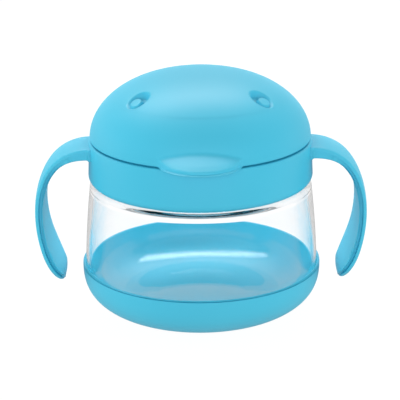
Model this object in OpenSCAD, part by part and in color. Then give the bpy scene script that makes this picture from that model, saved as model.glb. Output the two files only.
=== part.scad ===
// Toddler snack container: domed lid with a bird's face, screw collar with two handles,
// clear cup, bowl-shaped base and a soft membrane of flaps under the lid.
// Origin at the middle of the bottom, +Z up, the bill faces -Y. Millimetres.

/* [Base] */
// Outer radius of the base at its rim
base_r = 54; // [50:0.5:60]
// Height of the base's rim above the table
base_h = 22.7; // [18:0.1:28]
// Radius of the base's flat underside
base_flat_r = 26; // [24:0.5:32]
// Wall of the base at its rim
base_wall = 1.2; // [0.9:0.1:2]
// Floor of the base
base_floor = 3.2; // [2.8:0.1:5]
// How full the base's side is towards its rim (2 is round)
base_full_r = 2.25; // [2:0.05:3]
// How full the base's side is towards its flat (2 is round)
base_full_z = 2.6; // [2:0.05:3]
// Radius of the soft foot pad
foot_r = 24.5; // [16:0.5:25]
// Thickness of the soft foot pad
foot_t = 2; // [1.5:0.1:2.5]
// How far the foot pad stands below the base
foot_out = 0.5; // [0.3:0.1:1]

/* [Cup] */
// How far the cup stands inside the collar, just under it
cup_step = 0.5; // [0:0.1:2]
// Height of the cup's shoulder
shoulder_z = 60.4; // [56:0.1:66]
// Wall of the cup
cup_wall = 2.2; // [1.6:0.1:3]
// Floor of the cup
cup_floor = 2.4; // [1.8:0.1:4]
// Rise of the cup's floor at its middle
punt_h = 0.5; // [0.25:0.25:8]
// Width of the flat ring round the floor's rise
punt_ring = 4; // [2:0.5:8]
// Height of the neck above the shoulder
neck_h = 14.2; // [13:0.1:18]

/* [Thread] */
// Number of thread starts
starts = 3; // [2:1:4]
// Rise of the thread in one turn
lead = 12; // [8:0.5:14]
// How far each thread ridge stands out
ridge_d = 1.5; // [1.2:0.05:1.6]
// Height of each thread ridge
ridge_h = 1.5; // [1:0.1:1.7]
// Angle that each ridge on the neck covers
neck_span = 90; // [60:10:100]
// Angle that each ridge in the collar covers
collar_span = 60; // [40:10:80]
// Height of the ridges on the neck above the shoulder, where they start
thread_up = 7.4; // [6:0.1:9]

/* [Collar] */
// Outer radius of the collar at its top
collar_top_r = 49.7; // [45:0.1:55]
// How much wider the collar is near its lower edge
collar_flare = 0.7; // [0:0.1:2]
// Wall of the collar at its top
collar_wall = 1.8; // [1.5:0.1:2.5]
// Radius of the collar's rounded lower edge
collar_round = 3.4; // [2:0.1:5]
// Height of the collar's outer wall
collar_h = 19.1; // [18:0.1:23]
// Height of the spigot that the lid closes on
spigot_h = 3; // [2:0.1:4]
// Thickness of the spigot's wall
spigot_wall = 1.6; // [1.2:0.1:2]
// Radius of the hand opening in the collar's deck
deck_r = 38; // [36:0.5:40]
// Thickness of the deck
deck_t = 2; // [1.5:0.1:2.2]

/* [Handles] */
// Distance from the base's rim to the handles' outermost line
handle_out = 19.8; // [16:0.2:26]
// How far a handle's upper line lies below the collar's top
handle_drop = 2.2; // [1.5:0.1:6]
// Bend radius below the outermost line
handle_low_r = 60; // [50:1:80]
// Bend radius above that line
handle_mid_r = 38; // [34:1:44]
// Angle of the upper side bend
handle_mid_a = 25; // [15:1:35]
// Angle of the lower bend, down to the tip
handle_low_a = 34.5; // [28:0.5:38]
// Width of a handle at its root
handle_root_w = 22; // [16:0.5:28]
// Width that a handle grows towards
handle_tip_w = 38.5; // [28:0.5:42]
// Length of the rounded tip
handle_tip_l = 18; // [12:0.5:22]
// Thickness of a handle at its edges
handle_t = 3.2; // [2.6:0.1:4.5]
// Extra thickness of a handle along its middle
handle_crown = 0.9; // [0:0.1:1.5]

/* [Lid] */
// How far the dome's edge stands inside the collar's top edge
lid_step = 0.3; // [0:0.1:1]
// Height of the dome
lid_h = 30.2; // [26:0.2:36]
// How full the dome is towards its edge (2 is an ellipse)
lid_full_r = 2.25; // [2:0.05:2.6]
// How full the dome is towards its top (2 is an ellipse)
lid_full_z = 2; // [2:0.05:2.6]
// Wall of the dome
lid_wall = 2; // [1.6:0.1:2.2]
// Gap that shows between the lid and the collar
seam = 0.7; // [0.5:0.1:1.2]
// Plan radius of the bill's rounded front
bill_r = 19.1; // [17:0.1:22]
// Distance from the dome's lower edge to the bill's front
bill_out = 9.9; // [6:0.1:12]
// Thickness of the bill at its front edge
bill_t = 2; // [1.5:0.1:3]
// Slope of the bill's top
bill_slope = 22; // [12:1:28]
// Radius of the crown across the bill
bill_crown_r = 51; // [40:1:80]
// Angle between the eyes and the side of the lid
eye_turn = 39; // [34:0.5:44]
// Place of the eyes between the dome's edge (0) and its top (90)
eye_rise = 50; // [46:0.5:54]
// Radius of each sunk eye
eye_r = 5.6; // [4.5:0.1:6.5]
// Depth of each sunk eye
eye_d = 1.5; // [1:0.1:1.8]
// Radius of the raised pupil
pupil_r = 3; // [2:0.1:3.5]
// How far the pupil sits from the eye's middle, down the dome
pupil_shift = 1.8; // [0:0.1:2.4]
// Radius of the pupil's rounded top
pupil_ball = 6; // [4:0.5:12]
// How far the pupil's top stays below the dome
pupil_sink = 0.2; // [0:0.05:0.5]

/* [Hinge] */
// Radius of the hinge pin
pin_r = 1; // [0.8:0.1:1.3]
// Radial clearance of the pin in its bores
pin_gap = 0.05; // [0.02:0.01:0.1]
// Radius of the hinge knuckles
knuckle_r = 2.6; // [2.2:0.1:2.9]
// Width of the lid's knuckle
lid_knuckle_w = 15; // [12:0.5:20]
// Width of each ear on the collar
ear_w = 6; // [4:0.5:8]
// Side clearance between knuckles
knuckle_gap = 0.3; // [0.2:0.05:0.5]
// Gap between the collar's outside and the knuckles
hinge_out = 0.7; // [0.5:0.1:2]
// How far the ears' webs reach below the knuckles
ear_drop = 2; // [1:0.5:6]

/* [Membrane] */
// Number of soft flaps
flaps = 8; // [8:1:8]
// Distance from the middle to each flap's bending line
flap_root = 31; // [29:0.5:32]
// Thickness of the flaps and of the web round them
web_t = 1.2; // [1:0.1:1.4]
// Thickness of the clamped flange
flange_t = 2; // [1.8:0.1:2.4]
// Inner radius of the clamped flange
flange_in = 40; // [39:0.5:41.5]
// Width of the cut between two flaps
slit = 0.4; // [0.3:0.05:0.6]
// Clearance round each flap's root
root_gap = 0.2; // [0.18:0.01:0.22]
// Thickness of the lid seal
seal_t = 1.6; // [1.2:0.1:2]
// Width of the lid seal
seal_w = 2.6; // [2.2:0.1:3]

/* [Clearances] */
// Clearance round the foot pad
foot_gap = 0.1; // [0.05:0.05:0.2]
// Clearance between the cup and the base
base_gap = 0.2; // [0.1:0.05:0.3]
// Radial clearance of the thread and of the lid on its spigot
fit_gap = 0.4; // [0.3:0.05:0.5]
// Play between thread flanks
flank_gap = 0.15; // [0.1:0.05:0.25]
// Gap between the cup's shoulder and the collar
collar_gap = 0.4; // [0.2:0.05:0.8]
// Clearance round the membrane's flange
flange_gap = 0.3; // [0.2:0.05:0.5]
// Clearance round the lid seal in its groove
seal_gap = 0.03; // [0.01:0.01:0.1]

/* [Hidden] */
$fn = 96;
blue = [0.42, 0.80, 0.90];
clear = [0.86, 0.94, 0.97, 0.35];
silicone = [0.93, 0.95, 0.95];
steel = [0.75, 0.76, 0.78];
tiny = 0.01;
edge = 0.4;                                     // small chamfer on moulded edges

// Base and cup
base_z = foot_out;                              // underside of the base
base_in_r = base_r - base_wall;                 // bore of the base at its rim
base_in_z = base_z + base_floor;                // inner floor of the base
cup_low_r = base_in_r - base_gap;               // cup at the base's rim
cup_z = base_in_z + base_gap;                   // underside of the cup
bowl_steps = 12;
wall_steps = 8;
cup_bulge = 1.5;                                // power of the cup's side curve

// Collar, neck, thread and membrane
collar_r = collar_top_r + collar_flare;         // outside of the collar near its lower edge
collar_in_r = collar_top_r - collar_wall;       // bore of the collar
neck_r = collar_in_r - fit_gap - ridge_d;       // outside of the neck
neck_in_r = neck_r - cup_wall;
cup_top_r = collar_r - cup_step;                // outside of the cup just under the collar
rim_z = shoulder_z + neck_h;                    // top of the neck
deck_z = rim_z + flange_t;                      // underside of the collar's deck
collar_z = shoulder_z + collar_gap;             // lowest line of the collar
collar_top_z = collar_z + collar_h;
spigot_z = collar_top_z + spigot_h;
lid_z = collar_top_z + seam;                    // lower edge of the lid
thread_z = shoulder_z + thread_up;              // middle of a neck ridge at its start
thread_lag = 15;                                // collar ridges start this angle after the neck's
collar_drop = ridge_h + flank_gap;              // and hang this far below the neck's
ridge_root = 0.5;                               // ridges start this deep in their wall
flange_r = collar_in_r - flange_gap;
web_z = rim_z + (flange_t - web_t) / 2;         // underside of the web and the flaps

// Lid and hinge
lid_r = collar_top_r - lid_step;                // outside of the dome at its lower edge
lid_in_r = lid_r - lid_wall;
spigot_r = lid_in_r - fit_gap;
groove_r = lid_in_r + 0.5;                      // groove in the lid's skirt for the seal
hinge_y = collar_top_r + knuckle_r + hinge_out;
hinge_z = collar_top_z + seam / 2;
ear_x = lid_knuckle_w / 2 + knuckle_gap;        // inner face of each ear
ear_z = hinge_z - knuckle_r - ear_drop;         // underside of each ear's web
hinge_half = ear_x + ear_w;                     // outer face of each ear
pin_inset = 0.3;
dome_steps = 18;
bill_y = -(lid_r + bill_out - bill_r);          // middle of the bill's round front
bill_z = lid_z - 0.4;                           // underside of the bill

// Handles: x and z of their outermost line, worked back from where they leave the collar
handle_x = base_r + handle_out;
root_x = collar_r - 0.8;                        // where a handle's line enters the collar's wall
root_z = collar_top_z - handle_drop;
mid_x = handle_x - handle_mid_r * (1 - cos(handle_mid_a));
top_r = (mid_x - root_x) / cos(handle_mid_a);   // bend radius of the top
mid_z = root_z - top_r * (1 - sin(handle_mid_a));
handle_z = mid_z - handle_mid_r * sin(handle_mid_a);

// Points along a quarter of a superellipse from (r, 0) to (flat, h)
function swell(r, flat, h, full_r, full_z, steps) = [for (i = [0 : steps])
    let (a = 90 * i / steps)
    [flat + (r - flat) * pow(cos(a), 2 / full_r), h * pow(sin(a), 2 / full_z)]];

// Side of the bowl from its rim down to its flat
function bowl(r, flat, z0, z1) =
    [for (p = swell(r, flat, z1 - z0, base_full_r, base_full_z, bowl_steps)) [p[0], z1 - p[1]]];

// Dome outline from its lower edge to its top
function dome(r, h, z0) =
    [for (p = swell(r, 0, h, lid_full_r, lid_full_z, dome_steps)) [max(p[0], 0), z0 + p[1]]];

// The same points from last to first
function back(points) = [for (i = [len(points) - 1 : -1 : 0]) points[i]];

// Side of the cup from the shoulder down to the base's rim
function cup_side(inset) = [for (i = [wall_steps : -1 : 1])
    let (u = i / wall_steps, r = cup_low_r - (cup_low_r - cup_top_r) * pow(u, cup_bulge))
    [r - inset, base_h + (shoulder_z - 3 * edge - base_h) * u]];

// Raised middle of a floor, from its edge inwards
function punt(r, z, h) = [for (i = [0 : 6]) let (s = r * (1 - i / 6)) [s, z + h * (1 - pow(s / r, 2))]];

module base_shell() {
    color(blue) difference() {
        rotate_extrude() polygon(concat(
            bowl(base_r, base_flat_r, base_z, base_h - edge), [[0, base_z], [0, base_in_z]],
            back(bowl(base_in_r, base_flat_r, base_in_z, base_h)), [[base_r - edge, base_h]]));
        translate([0, 0, base_z - tiny]) cylinder(r = foot_r + foot_gap, h = foot_t - foot_out + tiny);
    }
}

module foot_pad() {
    color(silicone) cylinder(r = foot_r, h = foot_t);
}

// One thread ridge: a helical bar from angle 0 to span, rooted at radius r0 and reaching r1
module ridge(r0, r1, span, z0) {
    n = ceil(span / 6);
    slope = 0.35;                               // height lost by the crest on each flank
    low_end = 0.3;                              // share of the crest's height left at each end
    half = ridge_h / 2;
    rings = [for (i = [0 : n])
        let (a = span * i / n, z = z0 + lead * a / 360,
             rc = r0 + (r1 - r0) * (i == 0 || i == n ? low_end : 1))
        [for (p = [[r0, -half], [rc, -half + slope], [rc, half - slope], [r0, half]])
            [p[0] * cos(a), p[0] * sin(a), z + p[1]]]];
    loft(rings, r1 < r0);
}

// Closed skin over rings of equal length; flip turns the skin's faces over
module loft(rings, flip) {
    m = len(rings[0]);
    n = len(rings);
    pts = [for (g = rings) for (p = g) p];
    sides = [for (i = [0 : n - 2]) for (j = [0 : m - 1])
        let (a = i * m + j, b = i * m + (j + 1) % m, c = a + m, d = b + m)
        each [[a, b, d], [a, d, c]]];
    caps = [[for (j = [m - 1 : -1 : 0]) j], [for (j = [0 : m - 1]) (n - 1) * m + j]];
    all = concat(sides, caps);
    polyhedron(pts, flip ? [for (f = all) [for (k = [len(f) - 1 : -1 : 0]) f[k]]] : all, convexity = 6);
}

module clear_cup() {
    inner_flat = base_flat_r - cup_floor / 2;
    outer = concat(
        [[neck_in_r + edge, rim_z], [neck_r - edge, rim_z], [neck_r, rim_z - edge], [neck_r, shoulder_z],
         [cup_top_r - 3 * edge, shoulder_z], [cup_top_r - edge, shoulder_z - edge]],
        cup_side(0), bowl(cup_low_r, base_flat_r, cup_z, base_h),
        punt(base_flat_r - punt_ring, cup_z, punt_h));
    inner = concat(
        [[neck_in_r, rim_z - edge], [neck_in_r, shoulder_z - cup_wall],
         [cup_top_r - cup_wall - edge, shoulder_z - cup_wall]],
        [for (p = cup_side(cup_wall)) if (p[1] < shoulder_z - cup_wall - edge) p],
        bowl(cup_low_r - cup_wall, inner_flat, cup_z + cup_floor, base_h),
        punt(inner_flat - punt_ring, cup_z + cup_floor, punt_h));
    color(clear) union() {
        rotate_extrude() polygon(concat(outer, back(inner)));
        for (k = [0 : starts - 1]) rotate(360 * k / starts)
            ridge(neck_r - ridge_root, neck_r + ridge_d, neck_span, thread_z);
    }
}

module membrane_ring() {
    web_top = web_z + web_t;
    color(silicone) difference() {
        rotate_extrude() polygon([[0, web_z], [flange_in, web_z], [flange_in, rim_z], [flange_r, rim_z],
            [flange_r, deck_z], [flange_in, deck_z], [flange_in, web_top], [0, web_top]]);
        translate([0, 0, web_z - 1]) rotate(180 / flaps)
            cylinder(r = flap_root / cos(180 / flaps), h = web_t + 2, $fn = flaps);
        for (k = [0 : flaps - 1]) rotate(360 * k / flaps) root_seat();
    }
}

// Round seat of one flap's root, in the edge of the web
module root_seat() {
    translate([flap_root, 0, web_z + web_t / 2]) rotate([90, 0, 0])
        cylinder(r = web_t / 2 + root_gap, h = 2 * (root_half() + root_gap), center = true);
}

// Half the length of a flap's root
function root_half() = flap_root * tan(180 / flaps) - slit - web_t / 2;

module flap(k) {
    half = 180 / flaps;
    tip = slit / 2 / sin(half);                 // the cuts meet this far from the middle
    blunt = 0.8;                                // length cut off the pointed tip
    color(silicone) rotate(360 * k / flaps) translate([0, 0, web_z]) union() {
        linear_extrude(web_t) polygon([
            [tip + blunt, blunt * tan(half)], [tip + blunt, -blunt * tan(half)],
            [tip + root_half() / tan(half), -root_half()], [flap_root, -root_half()],
            [flap_root, root_half()], [tip + root_half() / tan(half), root_half()]]);
        translate([flap_root, 0, web_t / 2]) rotate([90, 0, 0])
            cylinder(r = web_t / 2, h = 2 * root_half(), center = true);
    }
}

// Half section of the collar: wall, spigot and deck
module collar_section() {
    cr = collar_r - collar_round;
    a0 = -acos(max(0, min(1, (collar_in_r - cr) / collar_round)));
    lower = [for (i = [0 : 6]) let (a = a0 * (6 - i) / 6)
        [cr + collar_round * cos(a), collar_z + collar_round * (1 + sin(a))]];
    spigot_in_r = spigot_r - spigot_wall;
    deck_top = deck_z + deck_t;
    polygon(concat([if (cr > collar_in_r) [collar_in_r, collar_z]], lower, [
        [collar_top_r, collar_top_z - 2 * edge], [collar_top_r - 2 * edge, collar_top_z],
        [spigot_r, collar_top_z], [spigot_r, spigot_z - edge], [spigot_r - edge, spigot_z],
        [spigot_in_r + edge, spigot_z], [spigot_in_r, spigot_z - edge], [spigot_in_r, deck_top],
        [deck_r + edge, deck_top], [deck_r, deck_top - edge], [deck_r, deck_z], [collar_in_r, deck_z]]));
}

// Outermost line of a handle at normal angle b (90 is up, 0 is sideways, negative points down)
function handle_line(b) =
    b < 0 ? [handle_x - handle_low_r * (1 - cos(b)), handle_z + handle_low_r * sin(b)] :
    b < handle_mid_a ? [handle_x - handle_mid_r * (1 - cos(b)), handle_z + handle_mid_r * sin(b)] :
    [mid_x - top_r * (cos(handle_mid_a) - cos(b)), mid_z + top_r * (sin(b) - sin(handle_mid_a))];

// Cross-section of a handle: flat inner side, rounded and crowned outer side
function handle_ring(b, half, t) =
    let (p = handle_line(b), n = [cos(b), sin(b)], c = min(0.75 * t, 0.8 * half), w = half - c,
         outline = concat([[half, -t], [half, -c]],
             [for (a = [30 : 30 : 90]) [w + c * cos(a), -c + c * sin(a)]],
             [[w / 2, 0.75 * handle_crown * t / handle_t], [0, handle_crown * t / handle_t],
              [-w / 2, 0.75 * handle_crown * t / handle_t]],
             [for (a = [90 : 30 : 150]) [-w + c * cos(a), -c + c * sin(a)]],
             [[-half, -c], [-half, -t]]))
    [for (q = outline) [p[0] + n[0] * q[1], q[0], p[1] + n[1] * q[1]]];

module handle() {
    top_l = top_r * (90 - handle_mid_a) * PI / 180;
    mid_l = handle_mid_r * handle_mid_a * PI / 180;
    low_l = handle_low_r * handle_low_a * PI / 180;
    all_l = top_l + mid_l + low_l;
    // Normal angle at the length s from the root
    function turn(s) = s < top_l ? 90 - (90 - handle_mid_a) * s / top_l :
        s < top_l + mid_l ? handle_mid_a * (1 - (s - top_l) / mid_l) :
        -handle_low_a * (s - top_l - mid_l) / low_l;
    function half_w(s) = (handle_root_w + (handle_tip_w - handle_root_w) * pow(s / all_l, 1.5)) / 2;
    function tip_k(s) = sqrt(1 - pow(max(0, (s - all_l + handle_tip_l) / handle_tip_l), 2));
    body_n = 14;
    tip_n = 8;
    body_s = [for (i = [0 : body_n]) (all_l - handle_tip_l) * i / body_n];
    tip_s = [for (i = [1 : tip_n]) all_l - handle_tip_l + handle_tip_l * sin(86 * i / tip_n)];
    root = handle_ring(90, handle_root_w / 2, handle_t);
    rings = concat(
        [[for (p = root) [p[0] - collar_wall / 2, p[1], p[2]]]],
        [for (s = concat(body_s, tip_s))
            handle_ring(turn(s), half_w(s) * tip_k(s), handle_t * max(0.45, min(1, 1.25 * tip_k(s))))]);
    loft(rings, true);
}

module ears() {
    for (side = [0, 1]) mirror([side, 0, 0]) difference() {
        union() {
            translate([ear_x, hinge_y, hinge_z]) rotate([0, 90, 0]) cylinder(r = knuckle_r, h = ear_w);
            translate([ear_x, 0, ear_z]) cube([ear_w, hinge_y, collar_top_z - edge - ear_z]);
        }
        pin_bore();
        cylinder(r = collar_in_r + edge, h = spigot_z);
    }
}

// Bore for the hinge pin, right through the knuckles
module pin_bore() {
    translate([-hinge_half - 1, hinge_y, hinge_z]) rotate([0, 90, 0])
        cylinder(r = pin_r + pin_gap, h = 2 * (hinge_half + 1));
}

module collar() {
    color(blue) union() {
        rotate_extrude() collar_section();
        for (k = [0 : starts - 1]) rotate(360 * k / starts + thread_lag)
            ridge(collar_in_r + ridge_root, collar_in_r - ridge_d, collar_span,
                  thread_z - collar_drop + lead * thread_lag / 360);
        handle();
        mirror([1, 0, 0]) handle();
        ears();
    }
}

module hinge_pin() {
    half = hinge_half - pin_inset;
    color(steel) translate([-half, hinge_y, hinge_z]) rotate([0, 90, 0]) cylinder(r = pin_r, h = 2 * half);
}

// Point on the dome at the eye, and the dome's outward normal there
function eye_at() =
    let (r = lid_r * pow(cos(eye_rise), 2 / lid_full_r), z = lid_h * pow(sin(eye_rise), 2 / lid_full_z))
    [r * cos(eye_turn), -r * sin(eye_turn), lid_z + z];
function eye_tilt() = atan2(lid_r / lid_full_r * pow(cos(eye_rise), 2 / lid_full_r - 1) * sin(eye_rise),
                            lid_h / lid_full_z * pow(sin(eye_rise), 2 / lid_full_z - 1) * cos(eye_rise));

// Places its children at one eye, with +Z along the dome's normal
module at_eye(side) {
    mirror([side, 0, 0]) translate(eye_at()) rotate(-eye_turn) rotate([0, 90 - eye_tilt(), 0])
        children();
}

// Ball that sinks an eye; extra is the wall behind it
module eye_ball(extra) {
    ball = (eye_r * eye_r + eye_d * eye_d) / (2 * eye_d);
    translate([0, 0, ball - eye_d]) sphere(r = ball + extra);
}

module pupil() {
    translate([pupil_shift, 0, 0]) intersection() {
        translate([0, 0, -eye_d - edge]) cylinder(r = pupil_r, h = eye_d + edge);
        translate([0, 0, -pupil_sink - pupil_ball]) sphere(r = pupil_ball);
    }
}

// Plate with a round front and a crowned top that slopes up into the dome
module bill() {
    intersection() {
        translate([0, bill_y, bill_z]) cylinder(r = bill_r, h = lid_h / 2);
        translate([0, bill_y - bill_r, bill_z + bill_t]) rotate([bill_slope, 0, 0])
            translate([0, 3 * bill_r, -bill_crown_r]) rotate([90, 0, 0])
                cylinder(r = bill_crown_r, h = 4 * bill_r, $fn = 180);
    }
}

module lid() {
    color(blue) union() {
        difference() {
            union() {
                rotate_extrude() polygon(concat([[0, lid_z]], dome(lid_r, lid_h, lid_z)));
                bill();
                translate([-lid_knuckle_w / 2, hinge_y, hinge_z]) rotate([0, 90, 0])
                    cylinder(r = knuckle_r, h = lid_knuckle_w);
                translate([-lid_knuckle_w / 2, 0, lid_z])
                    cube([lid_knuckle_w, hinge_y, knuckle_r - seam / 2]);
            }
            difference() {
                rotate_extrude() polygon(concat([[0, ear_z], [lid_in_r, ear_z]],
                    dome(lid_in_r, lid_h - lid_wall, lid_z)));
                for (side = [0, 1]) at_eye(side) eye_ball(lid_wall - pupil_sink);
            }
            translate([0, 0, spigot_z]) cylinder(r = groove_r, h = seal_t + seal_gap);
            for (side = [0, 1]) at_eye(side) eye_ball(0);
            pin_bore();
        }
        for (side = [0, 1]) at_eye(side) pupil();
    }
}

// Ring in the lid's groove that closes on the spigot
module lid_seal() {
    color(silicone) translate([0, 0, spigot_z]) difference() {
        cylinder(r = groove_r - seal_gap, h = seal_t);
        translate([0, 0, -tiny]) cylinder(r = groove_r - seal_w, h = seal_t + 2 * tiny);
    }
}

base_shell();
foot_pad();
clear_cup();
membrane_ring();
flap(0);  // flap_1
flap(1);  // flap_2
flap(2);  // flap_3
flap(3);  // flap_4
flap(4);  // flap_5
flap(5);  // flap_6
flap(6);  // flap_7
flap(7);  // flap_8
collar();
hinge_pin();
lid();
lid_seal();
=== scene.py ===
import math

import bmesh
import bpy
from mathutils import Matrix, Vector


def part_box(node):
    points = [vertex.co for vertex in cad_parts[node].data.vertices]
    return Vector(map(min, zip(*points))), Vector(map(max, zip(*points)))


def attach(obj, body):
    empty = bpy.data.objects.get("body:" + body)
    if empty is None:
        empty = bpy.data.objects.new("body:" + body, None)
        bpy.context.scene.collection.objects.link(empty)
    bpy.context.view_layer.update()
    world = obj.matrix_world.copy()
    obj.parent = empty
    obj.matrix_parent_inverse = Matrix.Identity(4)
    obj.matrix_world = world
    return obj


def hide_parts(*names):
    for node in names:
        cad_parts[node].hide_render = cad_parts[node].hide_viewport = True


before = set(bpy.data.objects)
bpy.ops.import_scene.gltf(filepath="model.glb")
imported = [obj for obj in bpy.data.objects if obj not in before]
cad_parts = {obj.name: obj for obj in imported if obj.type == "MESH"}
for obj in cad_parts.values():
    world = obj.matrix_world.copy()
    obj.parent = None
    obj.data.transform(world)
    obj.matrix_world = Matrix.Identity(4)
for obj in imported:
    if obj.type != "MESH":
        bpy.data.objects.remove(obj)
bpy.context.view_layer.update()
mm = 0.001


# small helpers

def linear(hexColour):  # sRGB hex to the linear colour that a shader takes
    channels = [int(hexColour[i:i + 2], 16) / 255 for i in (1, 3, 5)]
    return [c / 12.92 if c <= 0.04045 else ((c + 0.055) / 1.055) ** 2.4 for c in channels] + [1]


def addNode(tree, kind, settings={}, links={}):
    node = tree.nodes.new(kind)
    for name, value in settings.items():
        if isinstance(name, str) and hasattr(node, name):
            setattr(node, name, value)
        else:
            node.inputs[name].default_value = value
    for name, socket in links.items():
        tree.links.new(socket, node.inputs[name])
    return node


def nodeBox(node):  # a CAD node's corners in millimetres
    low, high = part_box(node)
    return low / mm, high / mm


def smoothStep(x):
    x = min(1, max(0, x))
    return x * x * (3 - 2 * x)


def smoothMax(a, b, soft):  # the larger of two, with a fillet of about that size where they cross
    h = max(0, soft - abs(a - b)) / soft
    return max(a, b) + h * h * soft / 4


def smoothMin(a, b, soft):
    return -smoothMax(-a, -b, soft)


def rounded(corners, steps=5):  # corners are (r, z, radius); each with a radius becomes an arc
    outline = []
    for i, (x, z, radius) in enumerate(corners):
        here = Vector((x, z))
        if radius == 0:
            outline.append(here)
            continue
        before = (Vector(corners[i - 1][:2]) - here).normalized()
        after = (Vector(corners[(i + 1) % len(corners)][:2]) - here).normalized()
        half = before.angle(after) / 2
        centre = here + (before + after).normalized() * radius / math.sin(half)
        start = here + before * radius / math.tan(half) - centre
        turn = start.angle_signed(here + after * radius / math.tan(half) - centre)
        for k in range(steps + 1):
            outline.append(centre + Matrix.Rotation(-turn * k / steps, 2) @ start)
    return [(p[0], p[1]) for p in outline]


def spinOutline(bm, outline, closed=False, sectors=((360, 256),), start=0):
    # each sector is its degrees and its steps, so that one side may get closer columns than the rest
    corners = [bm.verts.new((r, 0, z)) for r, z in outline]
    pairs = zip(corners, corners[1:] + corners[:1]) if closed else zip(corners, corners[1:])
    geometry = corners + [bm.edges.new(pair) for pair in pairs]
    bmesh.ops.rotate(bm, verts=corners, matrix=Matrix.Rotation(math.radians(start), 3, "Z"))
    if len(sectors) == 1:
        bmesh.ops.spin(bm, geom=geometry, axis=(0, 0, 1), angle=2 * math.pi, steps=sectors[0][1],
                       use_merge=True)
    else:
        for degrees, steps in sectors:
            geometry = bmesh.ops.spin(bm, geom=geometry, axis=(0, 0, 1), angle=math.radians(degrees),
                                      steps=steps)["geom_last"]
    bmesh.ops.remove_doubles(bm, verts=bm.verts, dist=2e-3)


def sweep(bm, sections):  # one closed skin through sections of equal length
    corner = bm.verts.layers.int.new("corner")
    ring = [bm.verts.new(p) for p in sections[0]]
    for i, v in enumerate(ring):
        v[corner] = i
    face = bm.faces.new(ring)
    for section in sections[1:]:
        made = bmesh.ops.extrude_face_region(bm, geom=[face] + face.edges[:] + face.verts[:])["geom"]
        for v in (g for g in made if isinstance(g, bmesh.types.BMVert)):
            v.co = section[v[corner]]
        face = next(g for g in made if isinstance(g, bmesh.types.BMFace))


def plate(bm, corners, rise):  # a flat face with these corners, extruded along rise
    face = bm.faces.new([bm.verts.new(p) for p in corners])
    made = bmesh.ops.extrude_face_region(bm, geom=[face])["geom"]
    bmesh.ops.translate(bm, vec=rise, verts=[g for g in made if isinstance(g, bmesh.types.BMVert)])
    bmesh.ops.recalc_face_normals(bm, faces=bm.faces)


def level(edge, axis):  # True for an edge that stays at one place along that axis
    return abs(edge.verts[0].co[axis] - edge.verts[1].co[axis]) < 1e-6


def newPiece(name, bm, sharpAngle=40):  # bm is in millimetres
    bmesh.ops.recalc_face_normals(bm, faces=bm.faces)
    bmesh.ops.scale(bm, vec=(mm, mm, mm), verts=bm.verts)
    mesh = bpy.data.meshes.new(name)
    bm.to_mesh(mesh)
    bm.free()
    mesh.shade_smooth()
    mesh.set_sharp_from_angle(angle=math.radians(sharpAngle))
    piece = bpy.data.objects.new(name, mesh)
    bpy.context.scene.collection.objects.link(piece)
    return piece


def combine(piece, tools, operation, sharpAngle=40):
    for tool in tools:
        step = piece.modifiers.new("combine", "BOOLEAN")
        step.operation = operation
        step.solver = "MANIFOLD"
        step.object = tool
    shape = bpy.data.meshes.new_from_object(piece.evaluated_get(bpy.context.evaluated_depsgraph_get()))
    piece.modifiers.clear()
    piece.data = shape
    shape.name = piece.name
    for tool in tools:
        bpy.data.objects.remove(tool)
    shape.shade_smooth()
    shape.set_sharp_from_angle(angle=math.radians(sharpAngle))


def bar(name, radius, length, axis, place, segments=32, edge=0, turn=0):
    # a round bar that lies along X or Y, with bevelled ends if edge is given, turned about the upright axis
    bm = bmesh.new()
    bmesh.ops.create_cone(bm, cap_ends=True, segments=segments, radius1=radius, radius2=radius, depth=length)
    if edge:
        ends = [e for e in bm.edges if level(e, 2)]
        bmesh.ops.bevel(bm, geom=ends, offset=edge, affect="EDGES", segments=2, profile=0.5, material=-1)
    lay = Matrix.Rotation(math.radians(90), 3, "Y" if axis == "X" else "X")
    bmesh.ops.rotate(bm, verts=bm.verts, matrix=lay)
    bmesh.ops.translate(bm, vec=place, verts=bm.verts)
    bmesh.ops.rotate(bm, verts=bm.verts, matrix=Matrix.Rotation(turn, 3, "Z"))
    return newPiece(name, bm)


def settle(piece, body, node, material):
    piece.data.materials.clear()
    piece.data.materials.append(material)
    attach(piece, body)
    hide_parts(node)


# materials

finish = {  # sizes of the patterns, in millimetres
    "drift": 60, "grain": 0.7, "grainHeight": 0.004,  # blue plastic
    "ripple": 25, "rippleHeight": 0.05,               # clear plastic
    "haze": 12, "depth": 1.5,                         # silicone, and how deep light goes into it
    "drawLine": 0.2, "lineStretch": 0.05,             # pin; the lines are 20 times as long as they are wide
}


def startMaterial(name):
    material = bpy.data.materials.new(name)
    material.use_nodes = True
    return material, material.node_tree, material.node_tree.nodes["Principled BSDF"]


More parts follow.
